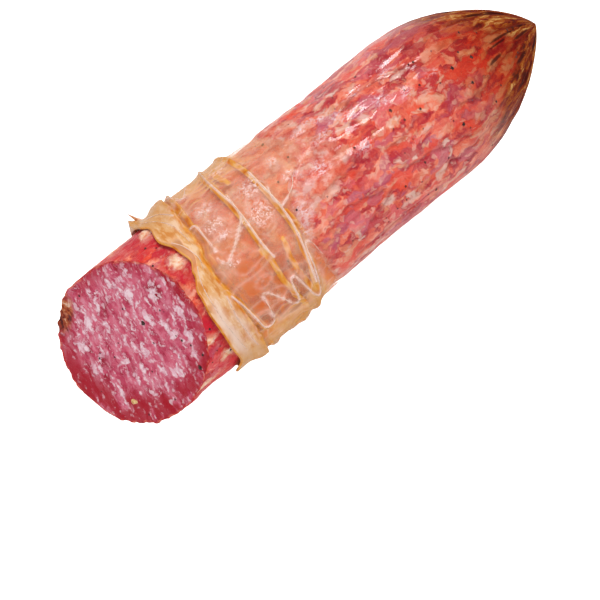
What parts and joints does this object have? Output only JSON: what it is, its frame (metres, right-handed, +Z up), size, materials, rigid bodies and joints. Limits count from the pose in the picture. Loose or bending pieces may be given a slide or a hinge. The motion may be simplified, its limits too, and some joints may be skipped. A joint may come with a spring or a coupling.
{
  "type": "air-dried salami",
  "caption": "Cured sausage cut on the slant at one end, with its dried skin pushed back in translucent folds behind the cut and gathered to a pleated tip.",
  "frame": {"origin": "middle of the bounding box's underside, on the surface the salami rests on", "axes": "+X along the salami from the slanted cut towards the gathered tip, +Z up, -Y the side the cut is rolled towards"},
  "size_m": [0.2398, 0.077, 0.0688],
  "materials": {
    "meat": "moist cut meat with fat grains, soft gloss",
    "casing": "thin dried skin, translucent amber where folded, soft wet gloss"
  },
  "bodies": {
    "root": {"meat": "meat", "casing": "casing"}
  },
  "joints": []
}
